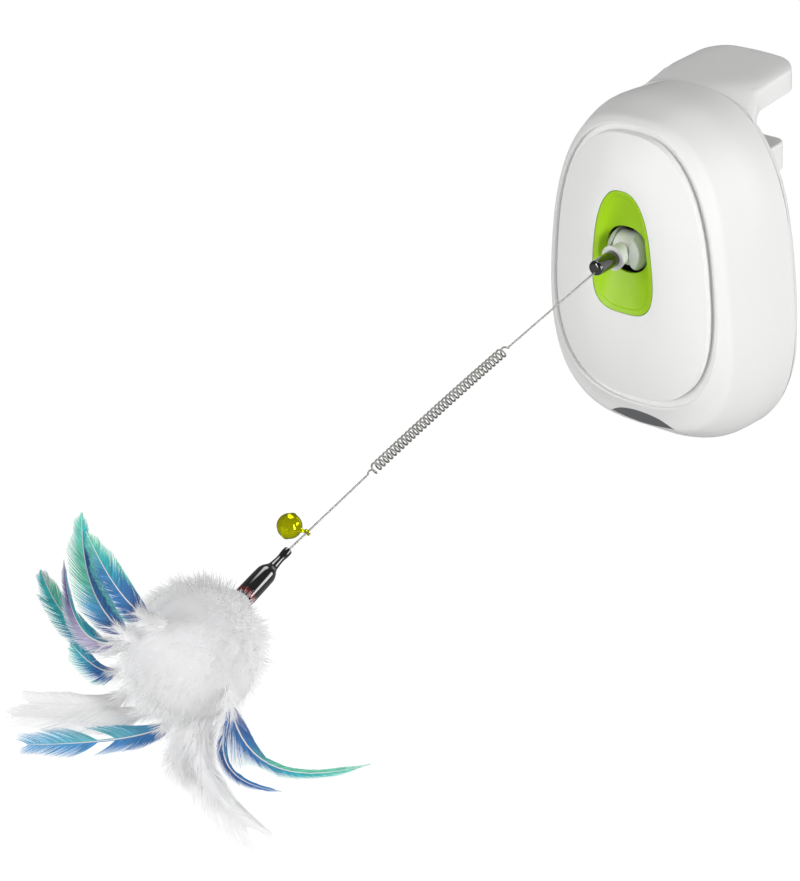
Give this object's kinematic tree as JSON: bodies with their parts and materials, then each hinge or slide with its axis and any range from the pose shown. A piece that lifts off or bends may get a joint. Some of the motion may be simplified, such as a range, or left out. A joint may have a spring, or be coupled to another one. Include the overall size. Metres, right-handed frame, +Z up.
{
  "type": "automatic feather wand cat toy",
  "caption": "Battery cat toy that clamps over a shelf edge: egg-shaped housing, sweeping ball arm and springy wire wand with a jingle bell and a tuft of coloured feathers.",
  "frame": {"origin": "on the hook tongue's flat underside, the face that sits on a shelf or table top, on the middle plane and 25.5 mm behind the back of the housing", "axes": "+Z up, +X across the housing, and the wand reaches out towards -Y"},
  "size_m": [0.1347, 0.4345, 0.166],
  "materials": {
    "white_shell": "gloss moulded",
    "green_funnel": "gloss moulded",
    "smoked_window": "polished",
    "pale_grey_ball": "satin",
    "white_arm": "gloss moulded",
    "black_plug": "gloss",
    "bright_wire": "drawn",
    "gold_bell": "polished",
    "black_ferrule": "gloss",
    "binding_thread": "matt",
    "white_down": "matt",
    "blue_feather": "silky",
    "aqua_feather": "silky",
    "purple_feather": "silky",
    "white_feather": "silky",
    "teal_feather": "silky",
    "nylon_gear": "moulded",
    "grey_frame": "moulded",
    "motor_can": "plated",
    "steel_pin": "ground",
    "bearing_brass": "turned",
    "screw_steel": "plated",
    "cell_wrap": "gloss",
    "contact_spring": "plated",
    "board_green": "matt",
    "chip_black": "matt",
    "capacitor_sleeve": "gloss",
    "connector_white": "moulded",
    "sensor_can": "plated",
    "switch_black": "moulded"
  },
  "bodies": {
    "housing": {"front_shell": "white_shell", "sensor_window": "smoked_window", "front_panel": "white_shell", "funnel": "green_funnel", "rear_shell": "white_shell", "housing_screws": "screw_steel", "frame_screws": "screw_steel", "board_screws": "screw_steel", "battery_cells": "cell_wrap", "cell_contacts": "contact_spring", "clamp_rod": "steel_pin", "switch_body": "switch_black", "circuit_board": "board_green", "control_chip": "chip_black", "capacitors": "capacitor_sleeve", "wire_connectors": "connector_white", "motion_sensor": "sensor_can", "sensor_holder": "grey_frame", "pan_bushes": "bearing_brass", "mechanism_frame": "grey_frame", "pan_motor": "motor_can", "pan_idler_axle": "steel_pin"},
    "yoke": {"pan_yoke": "grey_frame", "ball_cheek_left": "pale_grey_ball", "ball_cheek_right": "pale_grey_ball", "tilt_pin": "steel_pin", "tilt_motor": "motor_can", "tilt_idler_axle": "steel_pin"},
    "arm": {"arm_hub": "white_arm", "wand_plug": "black_plug", "upper_wire": "bright_wire", "wand_coil": "bright_wire"},
    "lure": {"lower_wire": "bright_wire", "ferrule": "black_ferrule", "quill_binding": "binding_thread", "fluff": "white_down", "feather_aqua": "aqua_feather", "feather_blue": "blue_feather", "feather_crest": "blue_feather", "feather_narrow": "blue_feather", "feather_purple": "purple_feather", "feather_short": "teal_feather", "feather_tall": "aqua_feather", "feather_teal": "teal_feather", "feather_white_long": "white_feather", "feather_white_low": "white_feather", "feather_white_side": "white_feather", "feather_white_tail": "white_feather"},
    "bell": {"bell": "gold_bell", "bell_pellet": "steel_pin"},
    "pan_idler": {"pan_idler": "nylon_gear"},
    "pan_pinion": {"pan_pinion": "nylon_gear"},
    "tilt_idler": {"tilt_idler": "nylon_gear"},
    "tilt_pinion": {"tilt_pinion": "nylon_gear"},
    "jaw": {"clamp_jaw": "white_shell", "clamp_slide": "grey_frame", "clamp_spring": "steel_pin"},
    "battery_door": {"battery_door": "white_shell", "door_screw": "screw_steel"},
    "switch_knob": {"switch_knob": "switch_black"}
  },
  "joints": [
    {"name": "pan", "type": "hinge", "parent": "housing", "child": "yoke", "pos_m": [0, -0.0757, -0.0464], "axis": [0, 0, 1], "range_deg": [-25, 25]},
    {"name": "tilt", "type": "hinge", "parent": "yoke", "child": "arm", "pos_m": [0, -0.0757, -0.0464], "axis": [1, 0, 0], "range_deg": [-40, 40]},
    {"name": "pan_idler_turn", "type": "hinge", "parent": "housing", "child": "pan_idler", "pos_m": [0, -0.0557, -0.065], "axis": [0, 0, 1], "range_deg": [-100, 100]},
    {"name": "pan_pinion_turn", "type": "hinge", "parent": "housing", "child": "pan_pinion", "pos_m": [0.01, -0.0557, -0.068], "axis": [0, 0, 1], "range_deg": [-300, 300]},
    {"name": "tilt_idler_turn", "type": "hinge", "parent": "yoke", "child": "tilt_idler", "pos_m": [0, -0.0597, -0.0464], "axis": [1, 0, 0], "range_deg": [-120, 120]},
    {"name": "tilt_pinion_turn", "type": "hinge", "parent": "yoke", "child": "tilt_pinion", "pos_m": [0.003, -0.0597, -0.0384], "axis": [1, 0, 0], "range_deg": [-360, 360]},
    {"name": "wand_flex", "type": "hinge", "parent": "arm", "child": "lure", "pos_m": [0, -0.20755, -0.06669], "axis": [1, 0, 0], "range_deg": [-30, 30], "stiffness_Nm_per_rad": 0.3, "springref_deg": -8.04, "deforming": ["wand_coil"]},
    {"name": "bell_swing", "type": "hinge", "parent": "lure", "child": "bell", "pos_m": [0, -0.29071, -0.08479], "axis": [0, -0.9755, -0.2198], "range_deg": [-80, 80]},
    {"name": "jaw_slide", "type": "slide", "parent": "housing", "child": "jaw", "axis": [0, 0, -1], "range_m": [0, 0.018], "stiffness_N_per_m": 120, "springref_m": -0.02, "deforming": ["clamp_spring"]},
    {"name": "battery_door_hinge", "type": "hinge", "parent": "housing", "child": "battery_door", "pos_m": [0, -0.0255, -0.0765], "axis": [1, 0, 0], "range_deg": [0, 60]},
    {"name": "power_switch", "type": "slide", "parent": "housing", "child": "switch_knob", "axis": [0, 0, 1], "range_m": [0, 0.004]}
  ],
  "couplings": [
    {"joint": "pan_idler_turn", "follows": "pan", "ratio": -4},
    {"joint": "pan_pinion_turn", "follows": "pan", "ratio": 12},
    {"joint": "tilt_idler_turn", "follows": "tilt", "ratio": -3},
    {"joint": "tilt_pinion_turn", "follows": "tilt", "ratio": 9}
  ]
}
